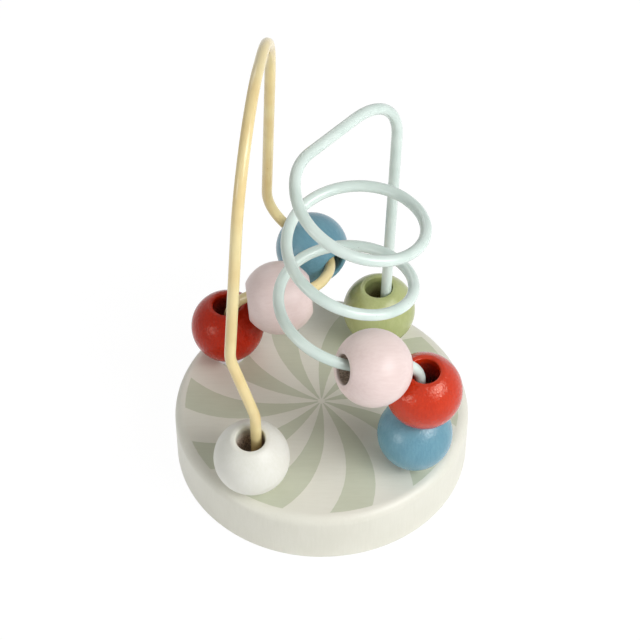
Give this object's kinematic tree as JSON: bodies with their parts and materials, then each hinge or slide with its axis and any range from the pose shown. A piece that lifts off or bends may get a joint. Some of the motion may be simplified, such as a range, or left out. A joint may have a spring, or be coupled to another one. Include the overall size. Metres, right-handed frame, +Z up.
{
  "type": "bead maze",
  "caption": "Tabletop wooden bead maze: a round painted base with two bent coated wires, one arched and one coiled, on which round painted beads slide.",
  "frame": {"origin": "centre of the base's flat underside", "axes": "+Z up; -Y towards the front, where the white bead and the right stack of beads stand; +X to the right seen from the front"},
  "size_m": [0.1, 0.1102, 0.1633],
  "materials": {
    "base_paint": "satin off-white paint with a printed swirl of pale sage green rays on top",
    "yellow_coat": "smooth pale yellow coat on steel wire",
    "mint_coat": "smooth pale mint coat on steel wire",
    "collar_plastic": "smooth white",
    "white_paint": "satin white paint",
    "red_paint": "satin red paint",
    "blue_paint": "satin blue paint",
    "green_paint": "satin olive green paint",
    "pink_paint": "satin pale pink paint"
  },
  "bodies": {
    "stand": {"base": "base_paint", "yellow_wire": "yellow_coat", "mint_wire": "mint_coat", "collar_front_left": "collar_plastic", "collar_front_right": "collar_plastic", "collar_rear_left": "collar_plastic", "collar_rear_right": "collar_plastic"},
    "white_bead_body": {"white_bead": "white_paint"},
    "red_bead_left_body": {"red_bead_left": "red_paint"},
    "pink_bead_left_body": {"pink_bead_left": "pink_paint"},
    "blue_bead_rear_body": {"blue_bead_rear": "blue_paint"},
    "green_bead_body": {"green_bead": "green_paint"},
    "blue_bead_right_body": {"blue_bead_right": "blue_paint"},
    "red_bead_right_body": {"red_bead_right": "red_paint"},
    "pink_bead_right_body": {"pink_bead_right": "pink_paint"}
  },
  "joints": [
    {"name": "white_bead_slide", "type": "slide", "parent": "stand", "child": "white_bead_body", "axis": [-0.03, 0.0449, 0.9985], "range_m": [0, 0.022]},
    {"name": "red_bead_left_spin", "type": "hinge", "parent": "stand", "child": "red_bead_left_body", "pos_m": [-0.03236, 0.02447, 0.0326], "axis": [0, 0, 1], "continuous": true},
    {"name": "pink_bead_left_swing", "type": "hinge", "parent": "stand", "child": "pink_bead_left_body", "pos_m": [-0.02371, 0.03597, 0.0463], "axis": [0, 0, 1], "range_deg": [0, 14]},
    {"name": "blue_bead_rear_swing", "type": "hinge", "parent": "stand", "child": "blue_bead_rear_body", "pos_m": [-0.0023, 0.04444, 0.06591], "axis": [0.7454, 0.4553, 0.487], "range_deg": [0, 44]},
    {"name": "green_bead_slide", "type": "slide", "parent": "stand", "child": "green_bead_body", "axis": [0.0258, -0.0057, 0.9996], "range_m": [0, 0.078]},
    {"name": "blue_bead_right_spin", "type": "hinge", "parent": "stand", "child": "blue_bead_right_body", "pos_m": [0.03067, -0.02312, 0.0326], "axis": [0, 0, 1], "continuous": true},
    {"name": "red_bead_right_spin", "type": "hinge", "parent": "stand", "child": "red_bead_right_body", "pos_m": [0.03284, -0.02428, 0.0554], "axis": [-0.008, -0.0872, 0.9962], "continuous": true},
    {"name": "pink_bead_right_swing", "type": "hinge", "parent": "stand", "child": "pink_bead_right_body", "pos_m": [0.01073, -0.0089, 0.08003], "axis": [-0.3836, 0.0505, -0.9221], "range_deg": [0, 92]}
  ]
}
